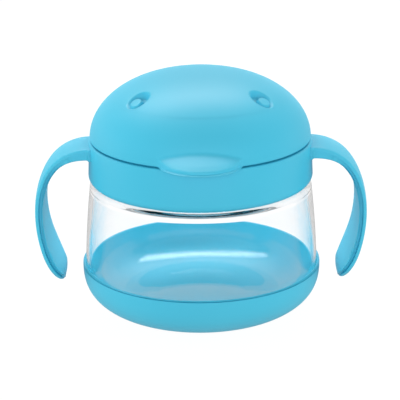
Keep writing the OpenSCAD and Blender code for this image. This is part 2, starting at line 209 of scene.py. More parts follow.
def mouldedPlastic():
    # injection-moulded polypropylene: satin, with soft highlights and a fine spark-eroded grain
    material, tree, shader = startMaterial("mouldedPolypropylene")
    place = addNode(tree, "ShaderNodeTexCoord").outputs["Object"]
    drift = addNode(tree, "ShaderNodeTexNoise", {"Scale": 1 / (finish["drift"] * mm), "Detail": 2},
                    {"Vector": place})
    colour = addNode(tree, "ShaderNodeValToRGB", links={"Fac": drift.outputs["Fac"]})
    colour.color_ramp.elements[0].position = 0.3
    colour.color_ramp.elements[0].color = linear("#34B2D0")
    colour.color_ramp.elements[1].position = 0.7
    colour.color_ramp.elements[1].color = linear("#3AB5D2")
    # real grain is about 0.1 mm; it is drawn coarser so that it shows
    grain = addNode(tree, "ShaderNodeTexNoise", {"Scale": 1 / (finish["grain"] * mm), "Detail": 3},
                    {"Vector": place})
    gloss = addNode(tree, "ShaderNodeMapRange", {"To Min": 0.46, "To Max": 0.53},
                    {"Value": grain.outputs["Fac"]})
    bump = addNode(tree, "ShaderNodeBump", {"Strength": 0.25, "Distance": finish["grainHeight"] * mm},
                   {"Height": grain.outputs["Fac"]})
    tree.links.new(colour.outputs["Color"], shader.inputs["Base Color"])
    tree.links.new(gloss.outputs["Result"], shader.inputs["Roughness"])
    tree.links.new(bump.outputs["Normal"], shader.inputs["Normal"])
    shader.inputs["IOR"].default_value = 1.49
    shader.inputs["Specular IOR Level"].default_value = 0.85
    return material


def clearPlastic():
    # clear copolyester: as bright as glass, with faint flow ripples from moulding
    material, tree, shader = startMaterial("clearCopolyester")
    place = addNode(tree, "ShaderNodeTexCoord").outputs["Object"]
    ripple = addNode(tree, "ShaderNodeTexNoise", {"Scale": 1 / (finish["ripple"] * mm), "Detail": 1},
                     {"Vector": place})
    bump = addNode(tree, "ShaderNodeBump", {"Strength": 0.15, "Distance": finish["rippleHeight"] * mm},
                   {"Height": ripple.outputs["Fac"]})
    tree.links.new(bump.outputs["Normal"], shader.inputs["Normal"])
    shader.inputs["Base Color"].default_value = linear("#FFFFFF")
    shader.inputs["Roughness"].default_value = 0.02
    shader.inputs["IOR"].default_value = 1.36
    shader.inputs["Transmission Weight"].default_value = 1
    # lamps shine through it, so that what stands inside is lit
    rays = addNode(tree, "ShaderNodeLightPath")
    lets = addNode(tree, "ShaderNodeMath", {"operation": "MAXIMUM"},
                   {0: rays.outputs["Is Shadow Ray"], 1: rays.outputs["Is Diffuse Ray"]})
    bare = addNode(tree, "ShaderNodeBsdfTransparent")
    mix = addNode(tree, "ShaderNodeMixShader", links={0: lets.outputs["Value"], 1: shader.outputs["BSDF"],
                                                      2: bare.outputs["BSDF"]})
    tree.links.new(mix.outputs["Shader"], tree.nodes["Material Output"].inputs["Surface"])
    return material


def softSilicone():
    # cured silicone: milky white, dull, and a little light goes into it
    material, tree, shader = startMaterial("milkySilicone")
    place = addNode(tree, "ShaderNodeTexCoord").outputs["Object"]
    haze = addNode(tree, "ShaderNodeTexNoise", {"Scale": 1 / (finish["haze"] * mm), "Detail": 3},
                   {"Vector": place})
    colour = addNode(tree, "ShaderNodeValToRGB", links={"Fac": haze.outputs["Fac"]})
    colour.color_ramp.elements[0].color = linear("#EEF3F4")
    colour.color_ramp.elements[1].color = linear("#F6F9F9")
    bloom = addNode(tree, "ShaderNodeMapRange", {"To Min": 0.48, "To Max": 0.6},
                    {"Value": haze.outputs["Fac"]})
    tree.links.new(colour.outputs["Color"], shader.inputs["Base Color"])
    tree.links.new(bloom.outputs["Result"], shader.inputs["Roughness"])
    shader.inputs["IOR"].default_value = 1.41
    shader.inputs["Subsurface Weight"].default_value = 0.15
    shader.inputs["Subsurface Radius"].default_value = [finish["depth"] * mm] * 3
    return material


def drawnSteel():
    # cold-drawn stainless wire: bright, with fine lines along its length
    material, tree, shader = startMaterial("drawnStainless")
    place = addNode(tree, "ShaderNodeTexCoord").outputs["Object"]
    along = addNode(tree, "ShaderNodeMapping", {"Scale": (finish["lineStretch"], 1, 1)}, {"Vector": place})
    lines = addNode(tree, "ShaderNodeTexNoise", {"Scale": 1 / (finish["drawLine"] * mm), "Detail": 2},
                    {"Vector": along.outputs["Vector"]})
    gloss = addNode(tree, "ShaderNodeMapRange", {"To Min": 0.22, "To Max": 0.38},
                    {"Value": lines.outputs["Fac"]})
    tree.links.new(gloss.outputs["Result"], shader.inputs["Roughness"])
    shader.inputs["Base Color"].default_value = linear("#C9CBCC")
    shader.inputs["Metallic"].default_value = 1
    return material


bluePlastic = mouldedPlastic()
clearShell = clearPlastic()
whiteSilicone = softSilicone()
pinSteel = drawnSteel()
print("materials made")


# hinge, shared by the collar, the lid and the pin

hinge = {
    "y": 53.0, "z": 80.25,                          # the pin's axis
    "knuckle": 2.597, "pin": 1.0, "bore": 1.05,     # radii
    "lidWidth": 15.0, "gap": 0.3, "earWidth": 6.0,  # the lid's knuckle, the gap beside it, and the ears
    "earTop": 1.5,                                  # an ear's flat top ends this far inwards of the pin
    "webIn": 1.9, "webDown": 1.77, "footIn": 2.5,   # underside of the lid's knuckle, from the pin
    "edge": 0.35, "pinEdge": 0.25,                  # bevels
}


def knuckle(name, x0, x1, rootY, lowZ, highZ):
    # a lug from x0 to x1, round at the pin, with a web back to rootY
    y, z, radius = hinge["y"], hinge["z"], hinge["knuckle"]
    steps = 24
    arc = []
    for k in range(steps + 1):
        a = math.radians(90 - 180 * k / steps)
        arc.append((y + radius * math.cos(a), z + radius * math.sin(a)))
    if lowZ < z - radius:  # an ear, which comes up from below
        web = [(rootY, lowZ), (rootY, highZ), (y - hinge["earTop"], highZ)]
    else:  # the lid's knuckle, which comes straight back
        web = [(y - hinge["webIn"], z - hinge["webDown"]), (y - hinge["footIn"], lowZ), (rootY, lowZ),
               (rootY, highZ)]
    bm = bmesh.new()
    plate(bm, [(x0, *p) for p in arc + web], (x1 - x0, 0, 0))
    rims = [e for e in bm.edges if level(e, 0)]
    bmesh.ops.bevel(bm, geom=rims, offset=hinge["edge"], offset_type="OFFSET", affect="EDGES", segments=2,
                    profile=0.5, material=-1)
    return newPiece(name, bm)


def cutBore(piece):  # the cutter is longer than all the knuckles together
    combine(piece, [bar("bore", hinge["bore"], 40, "X", (0, hinge["y"], hinge["z"]), 48)], "DIFFERENCE")


# lid

lid = {
    "radius": 49.4, "height": 29.8,         # the dome's outside
    "fullSide": 2.25, "fullTop": 2.0,       # powers of its outline, 2 is an ellipse
    "low": 80.6,                            # lower edge of the dome
    "wall": 2.0,
    "edge": 0.7,                            # rounding of the lower edge
    "billRadius": 18.2, "billY": -40.19,    # plan circle of the bill's front
    "billLow": 80.2, "billFront": 1.9,      # underside, and thickness at the tip
    "billSlope": 26, "billCrown": 36,       # slope of its top in degrees, and crown radius across it
    "billEdge": 0.6, "billJoin": 1.4,       # softness of its front edge, and of its root on the dome
    "billUnder": 0.45, "billDrop": 3,       # rounding of its underside, and the run down to it
    "billTop": 14, "billSide": -0.6,        # it stays below this height, and in front of this sine
    "billLip": 1.0,                         # small ledge along its lower edge
    "lipHeight": 0.75, "lipFlat": 2 / 7,    # the ledge's height, and the share of it that is upright
    "eyeX": 26.5, "eyeY": -20.8,            # middle of an eye, seen from above
    "eyeLong": 6.3, "eyeWide": 5.1,         # half sizes of the sunk oval
    "eyeDepth": 2.9, "eyeWall": 2.5,
    "eyeReach": 9,                          # nothing further from an eye's middle is moved
    "pupil": 3.4, "pupilShift": 1.8, "pupilWall": 0.9, "pupilSunk": 0.15,
    "boss": 9.5, "bossEdge": 3.5,           # the wall's thickening behind an eye, and its soft edge
    "bossLow": 10,                          # the thickening stays above this height
    "groove": 0.5, "grooveLow": 82.9, "grooveHigh": 84.53,
    "lugSink": 1.2, "lugUp": 0.02,          # the knuckle's root, into the skirt and above its lower edge
}

lidMesh = {
    "edgeRows": 5, "billRows": 27, "billRow": 0.28, "skirtRows": 18, "skirtRow": 0.62,
    "domeRows": ((39.5, 3), (60, 40), (90, 20)),  # then up to so many degrees in so many rows
    "insideRows": 30, "insideStep": 0.5,
    "start": -165, "sectors": ((150, 300), (210, 105)),  # closer columns over the face
}


def domeRadius(z, grow=0):  # the dome's radius at a height, or of its inside with a negative grow
    up = max(0, z - lid["low"]) / (lid["height"] + grow)
    return (lid["radius"] + grow) * max(0, 1 - up ** lid["fullTop"]) ** (1 / lid["fullSide"])


def billReach(c, s, z):  # distance from the lid's axis to the bill's skin, in the direction (c, s)
    along = lid["billY"] * s
    inside = lid["billRadius"] ** 2 - lid["billY"] ** 2 + along ** 2
    front = along + math.sqrt(max(0, inside))
    up = (z - lid["low"]) / lid["lipHeight"]
    front += lid["billLip"] * (1 - smoothStep((up - lid["lipFlat"]) / (1 - lid["lipFlat"])))
    slope = math.tan(math.radians(lid["billSlope"]))
    tip = lid["billY"] - lid["billRadius"]
    a = -c * c / (2 * lid["billCrown"])
    b = slope * s
    rest = lid["billLow"] + lid["billFront"] - slope * tip - z
    top = 2 * rest / (-b + math.sqrt(max(1e-9, b * b - 4 * a * rest))) if s < 0 else 0
    return smoothMin(front, top, lid["billEdge"])


def eyeFrame(side):  # an eye's middle on the dome, and the directions out of the dome, down it and across it
    r = math.hypot(lid["eyeX"], lid["eyeY"])
    t = math.acos((r / lid["radius"]) ** (lid["fullSide"] / 2))
    z = lid["height"] * math.sin(t) ** (2 / lid["fullTop"])
    out = Vector((side * lid["eyeX"] / r, lid["eyeY"] / r, 0))
    normal = out * (lid["fullSide"] * r ** (lid["fullSide"] - 1) / lid["radius"] ** lid["fullSide"])
    normal.z = lid["fullTop"] * z ** (lid["fullTop"] - 1) / lid["height"] ** lid["fullTop"]
    normal.normalize()
    across = Vector((-out.y, out.x, 0))
    down = across.cross(normal)
    return Vector((side * lid["eyeX"], lid["eyeY"], lid["low"] + z)), normal, down, across


def eyeSink(u, v):  # depth of the eye's recess; u runs down the dome and v across it
    oval = math.hypot(u / lid["eyeLong"], v / lid["eyeWide"])
    pit = lid["eyeDepth"] * smoothStep((1 - oval) * lid["eyeWide"] / lid["eyeWall"])
    pupil = smoothStep((lid["pupil"] - math.hypot(u - lid["pupilShift"], v)) / lid["pupilWall"])
    return pit - max(0, pit - lid["pupilSunk"]) * pupil


def lidOutside():  # rounded lower edge, close rows over the bill, then closer ones over the eyes
    edgeRows = lidMesh["edgeRows"]
    rows = [lid["low"] + lid["edge"] * (1 - math.cos(math.pi / 2 * k / edgeRows)) for k in range(edgeRows + 1)]
    rows += [rows[-1] + lidMesh["billRow"] * k for k in range(1, lidMesh["billRows"] + 1)]
    rows += [rows[-1] + lidMesh["skirtRow"] * k for k in range(1, lidMesh["skirtRows"] + 1)]
    outline = [(domeRadius(z), z) for z in rows]
    reached = math.asin((rows[-1] - lid["low"]) / lid["height"])
    for degrees, steps in lidMesh["domeRows"]:
        limit = math.radians(degrees)
        for k in range(1, steps + 1):
            t = reached + (limit - reached) * k / steps
            r = lid["radius"] * math.cos(t) ** (2 / lid["fullSide"]) if t < math.pi / 2 - 1e-6 else 0
            outline.append((r, lid["low"] + lid["height"] * math.sin(t)))
        reached = limit
    return outline


def lidInside():  # with the seal's groove in the skirt
    radius, height = lid["radius"] - lid["wall"], lid["height"] - lid["wall"]
    grooveRadius = radius + lid["groove"]
    outline = [(radius, lid["low"]), (radius, lid["grooveLow"]), (grooveRadius, lid["grooveLow"]),
               (grooveRadius, lid["grooveHigh"]), (domeRadius(lid["grooveHigh"], -lid["wall"]), lid["grooveHigh"])]
    low = math.asin((lid["grooveHigh"] - lid["low"] + lidMesh["insideStep"]) / height)
    rows = lidMesh["insideRows"]
    for k in range(rows + 1):
        t = low + (math.pi / 2 - low) * k / rows
        r = radius * math.cos(t) ** (2 / lid["fullSide"]) if k < rows else 0
        outline.append((r, lid["low"] + height * math.sin(t)))
    return outline


def shapeBill(bm):  # pulls the front out to the bill, and rounds the lower edge all the way round
    for v in bm.verts:
        r, up = math.hypot(v.co.x, v.co.y), v.co.z - lid["low"]
        if up > lid["billTop"]:
            continue
        c, s = v.co.x / r, v.co.y / r
        reach = billReach(c, s, v.co.z) if s < lid["billSide"] else 0
        outer = smoothMax(r, reach, lid["billJoin"]) if reach > r - lid["billJoin"] else r
        drop = (lid["low"] - lid["billLow"]) * smoothStep((outer - r) / lid["billDrop"])
        if up < lid["edge"]:
            edge = lid["billUnder"] if outer > r + 1 else lid["edge"]
            outer -= edge * (1 - math.sqrt(max(0, 1 - (1 - up / lid["edge"]) ** 2)))
        v.co = (outer * c, outer * s, v.co.z - drop * max(0, 1 - up / lid["billDrop"]))


def makeLid():
    bm = bmesh.new()
    spinOutline(bm, lidOutside(), sectors=lidMesh["sectors"], start=lidMesh["start"])
    shapeBill(bm)
    skin = bmesh.new()
    spinOutline(skin, lidInside(), sectors=lidMesh["sectors"], start=lidMesh["start"])
    for side in (-1, 1):  # each eye is sunk along the dome's normal, and the wall thickened behind it
        middle, normal, down, across = eyeFrame(side)
        for v in bm.verts:
            away = v.co - middle
            if away.length < lid["eyeReach"]:
                v.co -= normal * eyeSink(away.dot(down), away.dot(across))
        for v in skin.verts:
            away = v.co - middle
            away -= normal * away.dot(normal)
            if v.co.z > lid["low"] + lid["bossLow"]:
                v.co -= normal * lid["eyeDepth"] * smoothStep((lid["boss"] - away.length) / lid["bossEdge"])
    spare = bpy.data.meshes.new("lidInside")
    skin.to_mesh(spare)
    skin.free()
    bm.from_mesh(spare)
    bpy.data.meshes.remove(spare)
    bmesh.ops.bridge_loops(bm, edges=[e for e in bm.edges if e.is_boundary])
    piece = newPiece("lidShell", bm)
    lug = knuckle("lug", -hinge["lidWidth"] / 2, hinge["lidWidth"] / 2, lid["radius"] - lid["lugSink"],
                  lid["low"] + lid["lugUp"], hinge["z"] + hinge["knuckle"])
    combine(piece, [lug], "UNION")
    cutBore(piece)
    return piece


lidShell = makeLid()
settle(lidShell, "lid", "lid", bluePlastic)
print("lid made,", len(lidShell.data.polygons), "faces")


# collar with its two handles

collar = {
    "radius": 50.4, "topRadius": 49.7, "bore": 47.9,
    "low": 60.8, "top": 79.9, "round": 3.4,       # the last is the rounding of the lower edge
    "boreEdge": 0.25, "boreLow": 0.45,            # edge between that rounding and the bore
    "spigotOuter": 47.0, "spigotInner": 45.4, "spigotTop": 82.9,
    "deckLow": 76.6, "deckHigh": 78.6, "hand": 38.0,
    "earSink": 0.4, "earLow": 75.65,              # how far an ear goes into the wall and deck, and its foot
    "threadStart": 15, "threadLow": 66.65, "threadSpan": 60,
}

handle = {
    "outX": 73.8, "rootX": 49.6, "rootZ": 77.7,   # outermost line, and where the line leaves the collar
    "midRadius": 38.0, "midAngle": 25.0,
    "lowRadius": 60.0, "lowAngle": 35.1,
    "rootWidth": 22.0, "tipWidth": 38.5, "widen": 1.5,        # the last is the power by which it widens
    "tipLength": 19.0, "tipFull": 2.0, "tipEnd": 89.2,        # the last row lies just before the very end
    "thick": 3.2, "rootThick": 1.7, "rootLength": 18,         # it is thicker near the collar
    "crown": 0.89,                                            # height of the rounded outside
    "flare": 0.7, "flareLength": 1.6,                         # fillet where it meets the collar
    "lip": 1.1, "turn": 0.3,                                  # roundings of the rim, outside and inside
    "hollow": 2.3, "pad": 0.4, "padBack": 0.6,                # crease under the rim; the pad stands back
    "padRound": 0.35,
    "creaseStart": 8, "creaseLength": 22,                     # the crease fades out towards the collar
    "bodyStart": 6, "rootRows": 12, "bodyRows": 70, "tipRows": 30,
}

thread = {  # the collar's and the cup's
    "starts": 3, "rise": 12.0,                    # rise of one turn
    "depth": 1.5, "height": 1.5, "edge": 0.35,
    "sink": 0.5,                                  # how far a ridge goes into its wall
    "runOut": 8, "endDepth": 0.25,                # degrees in which a ridge ends, and what is left of its depth
    "steps": 24,
}


def handleLine():  # length of the handle's outer line, and a function for a place on it
    mid = math.radians(handle["midAngle"])
    midX = handle["outX"] - handle["midRadius"] * (1 - math.cos(mid))
    topRadius = (midX - handle["rootX"]) / math.cos(mid)
    midZ = handle["rootZ"] - topRadius * (1 - math.sin(mid))
    outZ = midZ - handle["midRadius"] * math.sin(mid)
    topLength = topRadius * (math.pi / 2 - mid)
    midLength = handle["midRadius"] * mid
    total = topLength + midLength + handle["lowRadius"] * math.radians(handle["lowAngle"])

    def lineAt(s):  # the point at that length, and the angle of its normal
        if s < topLength:
            b = math.pi / 2 - s / topRadius
            return (midX + topRadius * (math.cos(b) - math.cos(mid)),
                    midZ + topRadius * (math.sin(b) - math.sin(mid)), b)
        if s < topLength + midLength:
            radius = handle["midRadius"]
            b = mid - (s - topLength) / radius
        else:
            radius = handle["lowRadius"]
            b = -(s - topLength - midLength) / radius
        return handle["outX"] - radius * (1 - math.cos(b)), outZ + radius * math.sin(b), b

    return total, lineAt


def handleSide(half, thick, crown, thin, show):
    # half of a section, from the middle of its rounded outside to the middle of its flat inside
    lip, turn = handle["lip"] * thin, handle["turn"] * thin
    hollow, pad = half - handle["hollow"] * show, half - handle["padBack"] * show
    padTop = handle["pad"] * thin - thick
    padEdge = pad - handle["padRound"] * thin
    side = [(half * w, crown * (1 - w * w) - 0.02) for w in (0.15, 0.3, 0.45, 0.6, 0.72, 0.82)]
    for a in (15, 40, 65, 90):  # the rim's outer rounding
        c, d = math.cos(math.radians(a)), math.sin(math.radians(a))
        side.append((half - lip * (1 - d), crown * 0.2 * c - lip * (1 - c)))
    for a in (30, 60, 85):  # its inner rounding
        c, d = math.cos(math.radians(a)), math.sin(math.radians(a))
        side.append((half - turn * show * (1 - c), -lip - turn * d))
    side += [(hollow, -lip - turn * 1.3), (hollow, padTop)]  # the crease, and then the pad's edge
    side += [(pad - 0.1 * thin, padTop - 0.08 * thin), (pad - 0.05 * thin, -thick + 0.25 * thin)]
    return side + [(padEdge * w, -thick) for w in (1, 0.75, 0.5, 0.25)]


def handleSections():
    total, lineAt = handleLine()
    bodyEnd = total - handle["tipLength"]
    bodyStart = handle["bodyStart"]
    rootRows, bodyRows, tipRows = handle["rootRows"], handle["bodyRows"], handle["tipRows"]
    stations = [-handle["flareLength"], -handle["flareLength"] / 2]  # both inside the collar's wall
    stations += [bodyStart * k / rootRows for k in range(rootRows)]
    stations += [bodyStart + (bodyEnd - bodyStart) * k / bodyRows for k in range(bodyRows + 1)]
    stations += [bodyEnd + handle["tipLength"] * math.sin(math.radians(handle["tipEnd"] * k / tipRows))
                 for k in range(1, tipRows + 1)]
    sections = []
    for s in stations:
        x, z, b = lineAt(max(0, s))
        x += min(0, s)
        grow = (handle["tipWidth"] - handle["rootWidth"]) * max(0, s / total) ** handle["widen"]
        near = min(1, max(0, 1 - s / handle["flareLength"]))
        flare = handle["flare"] * (1 - math.sqrt(1 - near * near * 0.999))
        past = max(0, (s - bodyEnd) / handle["tipLength"])
        taper = max(0, 1 - past ** handle["tipFull"]) ** (1 / handle["tipFull"])
        half = (handle["rootWidth"] + grow) / 2 * taper + flare
        thin = max(0.12, min(1, 1.6 * taper, half / 2))  # the section shrinks towards the very tip
        extra = handle["rootThick"] * (1 - smoothStep(s / handle["rootLength"]))
        thick = (handle["thick"] + extra) * thin + flare * 0.6
        crown = handle["crown"] * min(1, taper * 1.5) + flare * 0.35
        show = thin * smoothStep((s - handle["creaseStart"]) / handle["creaseLength"])
        side = handleSide(half, thick, crown, thin, show)
        points = [(0, crown)] + side + [(0, -thick)] + [(-w, t) for w, t in reversed(side)]
        sections.append([Vector((x + math.cos(b) * t, w, z + math.sin(b) * t)) for w, t in points])
    return sections


def threadRidges(wallRadius, inwards, first, low, span):
    # ridges on a wall; first and span are in degrees, low is the height of a ridge's middle at its start
    side = 1 if inwards else -1
    root, crest = wallRadius + side * thread["sink"], wallRadius - side * thread["depth"]
    half, edge = thread["height"] / 2, thread["edge"]
    section = [(root, -half), (crest, edge - half), (crest, half - edge), (root, half)]
    ridges = []
    for k in range(thread["starts"]):
        bm = bmesh.new()
        face = bm.faces.new([bm.verts.new((r, 0, low + z)) for r, z in section])
        rise = thread["rise"] * span / 360
        bmesh.ops.spin(bm, geom=[face] + face.edges[:] + face.verts[:], axis=(0, 0, 1), steps=thread["steps"],
                       angle=math.radians(span), dvec=(0, 0, rise / thread["steps"]))
        bmesh.ops.remove_doubles(bm, verts=bm.verts, dist=1e-4)
        for v in bm.verts:  # both ends run out into the wall
            r = math.hypot(v.co.x, v.co.y)
            angle = math.degrees(math.atan2(v.co.y, v.co.x)) % 360
            end = min(angle, abs(span - angle)) if angle < 300 else 0
            if abs(r - crest) < 0.01:
                keep = thread["endDepth"] + (1 - thread["endDepth"]) * smoothStep(end / thread["runOut"])
                v.co.xy *= (root + (crest - root) * keep) / r
        turn = Matrix.Rotation(math.radians(first + 360 * k / thread["starts"]), 3, "Z")
        bmesh.ops.rotate(bm, verts=bm.verts, matrix=turn)
        ridges.append(newPiece("ridge", bm))
    return ridges


def makeCollar():
    middle = collar["radius"] - collar["round"]
    boreAngle = math.acos((collar["bore"] + collar["boreEdge"] - middle) / collar["round"])
    outline = [(collar["bore"], collar["low"] + collar["boreLow"])]
    steps = 12
    for k in range(steps + 1):
        a = -boreAngle * (1 - k / steps)
        outline.append((middle + collar["round"] * math.cos(a),
                        collar["low"] + collar["round"] * (1 + math.sin(a))))
    outline += rounded([
        (collar["radius"], collar["low"] + collar["round"], 0),
        (collar["topRadius"], collar["top"], 0.9),
        (collar["spigotOuter"], collar["top"], 0.3),
        (collar["spigotOuter"], collar["spigotTop"], 0.6),
        (collar["spigotInner"], collar["spigotTop"], 0.6),
        (collar["spigotInner"], collar["deckHigh"], 0.5),
        (collar["hand"], collar["deckHigh"], 0.7),
        (collar["hand"], collar["deckLow"], 0.5),
        (collar["bore"], collar["deckLow"], 0.3)])[1:]
    bm = bmesh.new()
    spinOutline(bm, outline, closed=True)
    piece = newPiece("handleCollar", bm)
    adds = []
    for side in (1, -1):
        bm = bmesh.new()
        sweep(bm, handleSections())
        if side < 0:
            bmesh.ops.scale(bm, vec=(-1, 1, 1), verts=bm.verts)
        adds.append(newPiece("handle", bm))
    inner = hinge["lidWidth"] / 2 + hinge["gap"]
    for side in (1, -1):
        x0, x1 = sorted((side * inner, side * (inner + hinge["earWidth"])))
        adds.append(knuckle("ear", x0, x1, collar["bore"] - collar["earSink"], collar["earLow"],
                            collar["top"] - collar["earSink"]))
    adds += threadRidges(collar["bore"], True, collar["threadStart"], collar["threadLow"], collar["threadSpan"])
    combine(piece, adds, "UNION")
    cutBore(piece)
    return piece


handleCollar = makeCollar()
settle(handleCollar, "collar", "collar", bluePlastic)
print("collar made,", len(handleCollar.data.polygons), "faces")


# base and foot pad

base = {
    "radius": 54.0, "rim": 22.7, "flat": 26.0, "low": 0.5,
    "wall": 1.2, "floor": 3.2,
    "rimBack": 0.05, "rimLow": 0.25,              # the thin rim above the shadow line
    "seamTop": 0.3, "seamDepth": 0.8, "seamHeight": 0.35, "seamEdge": 0.05,  # shadow line below the rim
    "edgeOut": 0.35, "edgeIn": 0.2, "edgeDown": 0.1,  # bevels of the rim's top
    "fullSide": 2.25, "fullFlat": 2.6,            # powers of the bowl's outline
    "footRadius": 24.5, "footThick": 2.0, "footGap": 0.1, "footEdge": 0.4, "recessEdge": 0.25,
}


def bowl(radius, flat, low, high, steps):  # side of the bowl, from its rim down to its flat
    points = []
    for k in range(steps + 1):
        a = math.radians(90 * k / steps)
        points.append((flat + (radius - flat) * math.cos(a) ** (2 / base["fullSide"]) if k < steps else flat,
                       high - (high - low) * math.sin(a) ** (2 / base["fullFlat"])))
    return points


def makeBase():
    innerRadius = base["radius"] - base["wall"]
    innerLow = base["low"] + base["floor"]
    recess, edge = base["footRadius"] + base["footGap"], base["recessEdge"]
    seamRadius, seamHigh = base["radius"] - base["seamDepth"], base["rim"] - base["seamTop"]
    seamLow = seamHigh - base["seamHeight"]
    # from the middle of the inside up to the rim, and round the outside to the middle of the foot's recess
    outline = [(0, innerLow)]
    outline += bowl(innerRadius, base["flat"], innerLow, base["rim"] - base["edgeDown"], 40)[::-1]
    outline += [(innerRadius + base["edgeIn"], base["rim"]), (base["radius"] - base["edgeOut"], base["rim"]),
                (base["radius"] - base["rimBack"], base["rim"] - base["rimLow"]),
                (seamRadius, seamHigh), (seamRadius, seamLow)]
    outline += bowl(base["radius"], base["flat"], base["low"], seamLow - base["seamEdge"], 48)
    outline += [(recess + edge, base["low"]), (recess, base["low"] + edge), (recess, base["footThick"]),
                (0, base["footThick"])]
    bm = bmesh.new()
    spinOutline(bm, outline)
    return newPiece("baseBowl", bm)


def makeFootPad():
    bm = bmesh.new()
    bmesh.ops.create_cone(bm, cap_ends=True, segments=128, radius1=base["footRadius"], radius2=base["footRadius"],
                          depth=base["footThick"])
    bmesh.ops.translate(bm, vec=(0, 0, base["footThick"] / 2), verts=bm.verts)
    lowRim = [e for e in bm.edges if max(v.co.z for v in e.verts) < 0.01]
    bmesh.ops.bevel(bm, geom=lowRim, offset=base["footEdge"], affect="EDGES", segments=3, profile=0.5,
                    material=-1)
    return newPiece("footPad", bm)


settle(makeBase(), "vessel", "base_shell", bluePlastic)
settle(makeFootPad(), "vessel", "foot_pad", whiteSilicone)
print("base made")


# clear cup

cup = {
    "lowRadius": 52.6, "topRadius": 49.9, "shoulder": 60.4,
    "bulge": 1.5, "sideTop": 1.2,                 # power of the side's line, which ends so far below the shoulder
    "low": 3.9, "wall": 2.2, "floor": 2.4,
    "punt": 0.5, "puntRing": 4.0, "flatIn": 1.2,  # the floor's raised middle, the flat round it, and its inside
    "neck": 46.0, "rim": 74.6, "shoulderRound": 2.2, "cornerRound": 2.2,
    "shoulderIn": 0.05,                           # the shoulder's corner is a hair inside the side's line
    "roundGap": 0.2,                              # the side's rows end this far before a rounding
    "threadLow": 67.8, "threadSpan": 90,
}


def sideRadius(z):
    up = max(0, (z - base["rim"]) / (cup["shoulder"] - cup["sideTop"] - base["rim"]))
    return cup["lowRadius"] - (cup["lowRadius"] - cup["topRadius"]) * up ** cup["bulge"]


def cupSide(inset, low, high, steps):
    heights = [low + (high - low) * k / steps for k in range(steps + 1)]
    return [(sideRadius(z) - inset, z) for z in heights]


def puntRise(radius, z, steps):  # the raised middle of a floor, from its edge inwards
    return [(radius * (1 - k / steps), z + cup["punt"] * (1 - (1 - k / steps) ** 2)) for k in range(steps + 1)]


def makeCup():
    neckIn, floor = cup["neck"] - cup["wall"], cup["low"] + cup["floor"]
    flat, flatIn = base["flat"], base["flat"] - cup["flatIn"]
    high = cup["shoulder"] - cup["shoulderRound"] - cup["roundGap"]
    under = cup["shoulder"] - cup["wall"]
    inHigh = under - cup["cornerRound"] - cup["roundGap"]
    outline = puntRise(flat - cup["puntRing"], cup["low"], 20)[::-1]
    outline += bowl(cup["lowRadius"], flat, cup["low"], base["rim"], 40)[::-1]
    outline += cupSide(0, base["rim"], high, 24)[1:-1]
    outline += rounded([
        (sideRadius(high), high, 0),
        (cup["topRadius"] - cup["shoulderIn"], cup["shoulder"], cup["shoulderRound"]),
        (cup["neck"], cup["shoulder"], 0.6),
        (cup["neck"], cup["rim"], 0.5),
        (neckIn, cup["rim"], 0.5),
        (neckIn, under, 0.8),
        (sideRadius(under) - cup["wall"], under, cup["cornerRound"]),
        (sideRadius(inHigh) - cup["wall"], inHigh, 0)])
    outline += cupSide(cup["wall"], base["rim"], inHigh, 20)[::-1][1:]
    outline += bowl(cup["lowRadius"] - cup["wall"], flatIn, floor, base["rim"], 40)[1:]
    outline += puntRise(flatIn - cup["puntRing"], floor, 20)
    bm = bmesh.new()
    spinOutline(bm, outline)
    piece = newPiece("clearCup", bm, 30)
    combine(piece, threadRidges(cup["neck"], False, 0, cup["threadLow"], cup["threadSpan"]), "UNION", 30)
    return piece


settle(makeCup(), "vessel", "clear_cup", clearShell)
print("cup made")


# membrane: a clamped ring and eight soft flaps

membrane = {
    "webLow": 75.0, "webThick": 1.2,
    "flangeIn": 40.0, "flangeOut": 47.6, "flangeLow": 74.6, "flangeHigh": 76.6,
    "count": 8, "root": 31.0,                     # the flaps, and how far their roots are from the middle
    "slit": 0.4, "gap": 0.2,                      # between two flaps, and round a root
    "blunt": 0.8, "edge": 0.28,
}


def webMiddle():
    return membrane["webLow"] + membrane["webThick"] / 2


def rootHalf():  # half the length of a flap's root
    return membrane["root"] * math.tan(math.pi / membrane["count"]) - membrane["slit"] - membrane["webThick"] / 2


def makeMembrane():
    low, high = membrane["webLow"], membrane["webLow"] + membrane["webThick"]
    flangeIn, flangeOut = membrane["flangeIn"], membrane["flangeOut"]
    flangeLow, flangeHigh = membrane["flangeLow"], membrane["flangeHigh"]
    half = math.pi / membrane["count"]
    hole = membrane["root"] - 3  # a round hole, smaller than the eight-sided one that is cut next
    outline = rounded([
        (hole, low, 0), (flangeIn, low, 0.15), (flangeIn, flangeLow, 0.2), (flangeOut, flangeLow, 0.4),
        (flangeOut, flangeHigh, 0.4), (flangeIn, flangeHigh, 0.2), (flangeIn, high, 0.15), (hole, high, 0)], 4)
    bm = bmesh.new()
    spinOutline(bm, outline, True, ((360, 192),))
    piece = newPiece("membraneRing", bm)
    corner = membrane["root"] / math.cos(half)
    bm = bmesh.new()
    bmesh.ops.create_cone(bm, cap_ends=True, segments=membrane["count"], radius1=corner, radius2=corner, depth=6)
    bmesh.ops.rotate(bm, verts=bm.verts, matrix=Matrix.Rotation(half, 3, "Z"))
    bmesh.ops.translate(bm, vec=(0, 0, webMiddle()), verts=bm.verts)
    combine(piece, [newPiece("opening", bm)], "DIFFERENCE")
    radius = membrane["webThick"] / 2 + membrane["gap"]
    length = 2 * (rootHalf() + membrane["gap"])
    combine(piece, [bar("seat", radius, length, "Y", (membrane["root"], 0, webMiddle()), turn=2 * half * k)
                    for k in range(membrane["count"])], "DIFFERENCE")
    return piece


